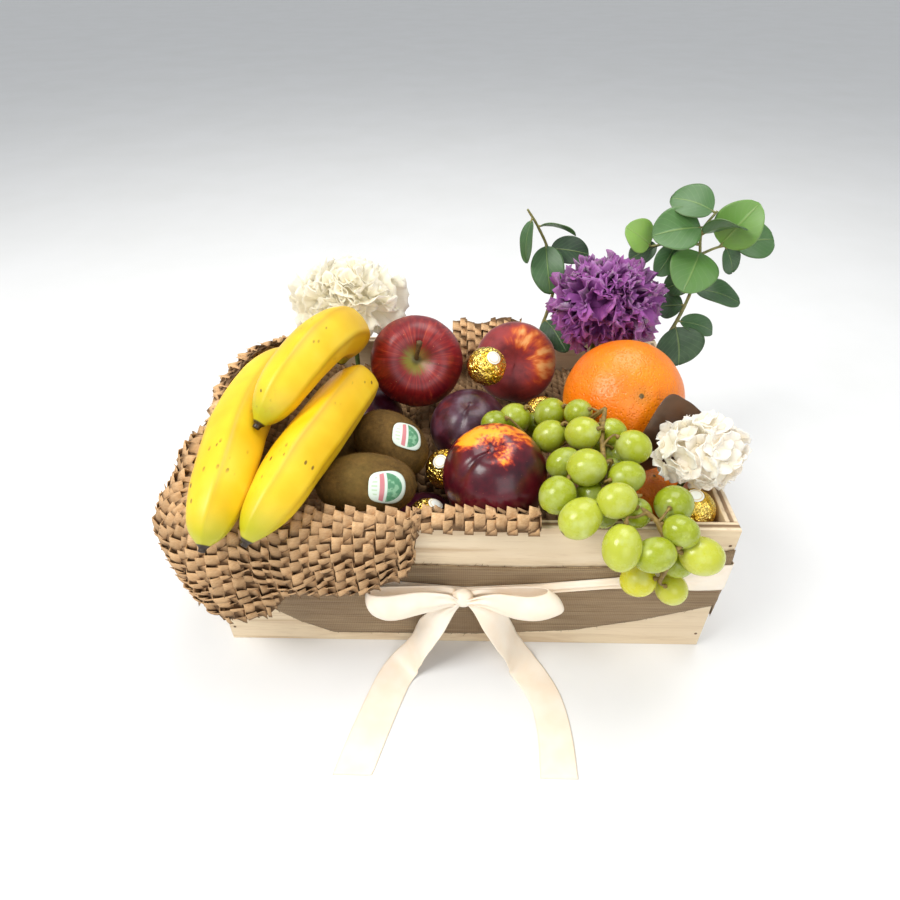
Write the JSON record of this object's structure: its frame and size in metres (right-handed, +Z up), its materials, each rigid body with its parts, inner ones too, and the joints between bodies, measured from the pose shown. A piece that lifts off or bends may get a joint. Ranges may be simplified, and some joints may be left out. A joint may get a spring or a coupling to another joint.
{
  "type": "fruit gift basket",
  "caption": "Open plywood crate lined with slit brown paper and heaped with fruit, foil-wrapped chocolates, flowers and leaves, with a cream ribbon bow on its front.",
  "frame": {"origin": "middle of the crate's underside, on the table", "axes": "+X to the right of the crate's front, +Y to its back, +Z up"},
  "size_m": [0.4487, 0.3492, 0.2649],
  "materials": {
    "birch_ply": "pale birch plywood, unvarnished",
    "kraft_paper": "brown kraft paper, matt",
    "woven_jute": "thin open-woven brown band",
    "cream_satin": "cream satin ribbon",
    "label": "small paper sticker with a plain pattern",
    "orange_peel": "waxy dimpled orange peel",
    "apple_skin": "glossy red apple skin",
    "peach_skin": "downy red and yellow peach skin",
    "nectarine_skin": "smooth dark red nectarine and plum skin",
    "kiwi_skin": "brown hairy kiwi skin",
    "gold_foil": "crumpled gold-coloured foil",
    "brown_cup": "fluted dark brown paper cup",
    "banana_peel": "yellow banana peel with brown flecks",
    "grape_skin": "pale green grape skin",
    "purple_petals": "purple preserved petals",
    "white_petals": "off-white preserved petals",
    "hydrangea_petals": "white round petals",
    "eucalyptus_leaf": "grey-green eucalyptus leaves",
    "waxed_paper": "dark brown waxed paper"
  },
  "bodies": {
    "root": {"apple": "apple_skin", "banana_left": "banana_peel", "banana_right": "banana_peel", "banana_top": "banana_peel", "bow_knot": "cream_satin", "bow_loop_left": "cream_satin", "bow_loop_right": "cream_satin", "carnation_purple": "purple_petals", "carnation_white": "white_petals", "chocolate_cup": "brown_cup", "chocolate_cupped": "gold_foil", "chocolate_front": "gold_foil", "chocolate_middle": "gold_foil", "chocolate_right": "gold_foil", "chocolate_top": "gold_foil", "crate_back": "birch_ply", "crate_floor": "birch_ply", "crate_front": "birch_ply", "crate_left": "birch_ply", "crate_right": "birch_ply", "eucalyptus_left": "eucalyptus_leaf", "eucalyptus_right": "eucalyptus_leaf", "flat_peach": "peach_skin", "flower_wrap": "waxed_paper", "grape_bunch": "grape_skin", "hydrangea_white": "hydrangea_petals", "kiwi_back": "kiwi_skin", "kiwi_front": "kiwi_skin", "kiwi_hidden": "kiwi_skin", "mandarin": "orange_peel", "nectarine_dark": "nectarine_skin", "nectarine_front": "nectarine_skin", "orange": "orange_peel", "paper_arch": "kraft_paper", "paper_back": "kraft_paper", "paper_bed": "kraft_paper", "paper_drape": "kraft_paper", "plum_back": "nectarine_skin", "plum_low": "nectarine_skin", "ribbon_band": "cream_satin", "ribbon_tail_left": "cream_satin", "ribbon_tail_right": "cream_satin", "seal_front": "label", "seal_middle": "label", "seal_right": "label", "seal_top": "label", "sticker_back": "label", "sticker_front": "label", "woven_band": "woven_jute"}
  },
  "joints": []
}
